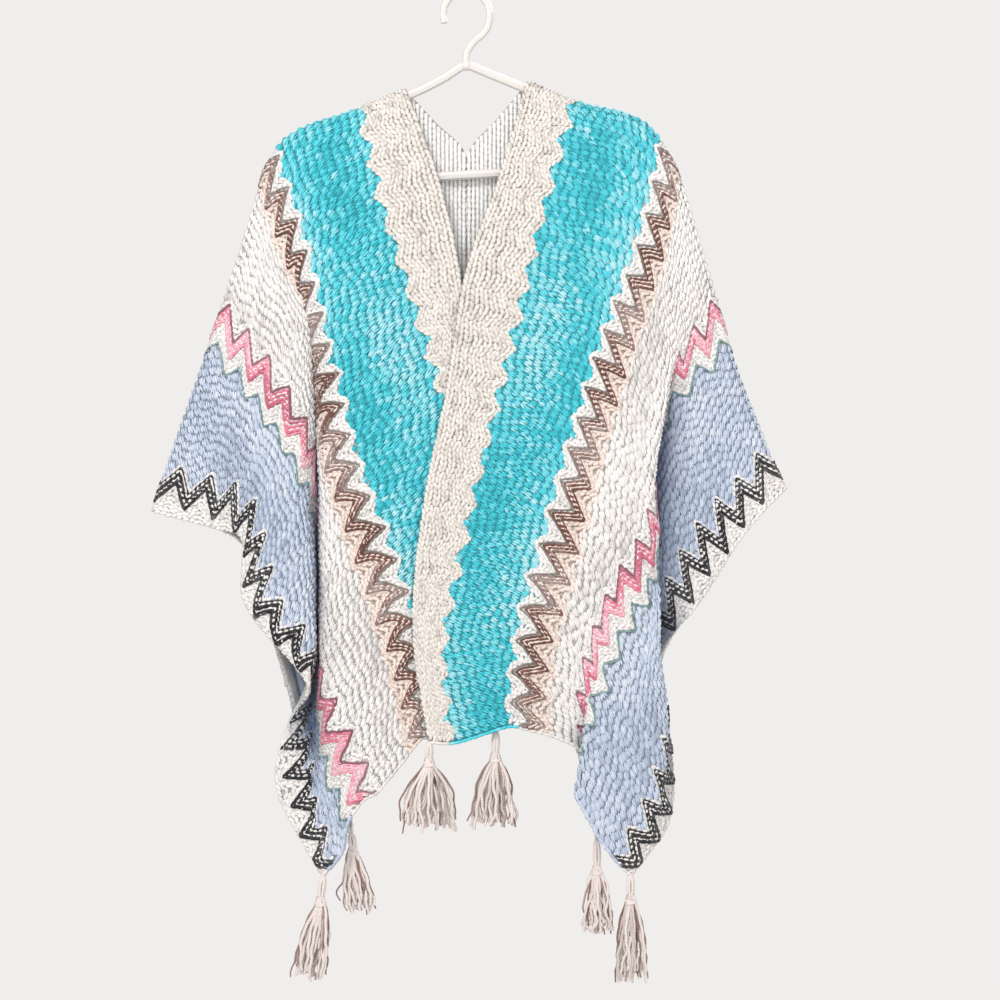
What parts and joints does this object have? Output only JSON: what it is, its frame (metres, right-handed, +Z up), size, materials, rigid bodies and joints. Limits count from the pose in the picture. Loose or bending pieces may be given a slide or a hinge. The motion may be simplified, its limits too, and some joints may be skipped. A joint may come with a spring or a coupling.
{
  "type": "knitted poncho sweater on a hanger",
  "caption": "Open-front knitted poncho with lengthwise stripes, zigzag lines and corner tassels, hung on a plain hanger.",
  "frame": {"origin": "the inner top of the hanger's hook, where a rail or nail carries it", "axes": "+Z up, +X along the hanger towards the shoulder whose front lies on top, the front faces -Y"},
  "size_m": [0.7027, 0.1058, 1.0972],
  "materials": {
    "knit": "chunky bobbly knit in lengthwise stripes of cream, turquoise, white and pale blue, with brown, pink and black zigzags",
    "tassel": "loose twisted yarn, off-white with a few brown strands",
    "hanger": "smooth moulded white plastic"
  },
  "bodies": {
    "root": {"panel_plus_x": "knit", "panel_minus_x": "knit", "hanger": "hanger", "tassel_front_inner_plus_x": "tassel", "tassel_front_inner_minus_x": "tassel", "tassel_front_outer_minus_x": "tassel", "tassel_back_outer_minus_x": "tassel", "tassel_back_outer_plus_x": "tassel", "tassel_front_outer_plus_x": "tassel"}
  },
  "joints": []
}
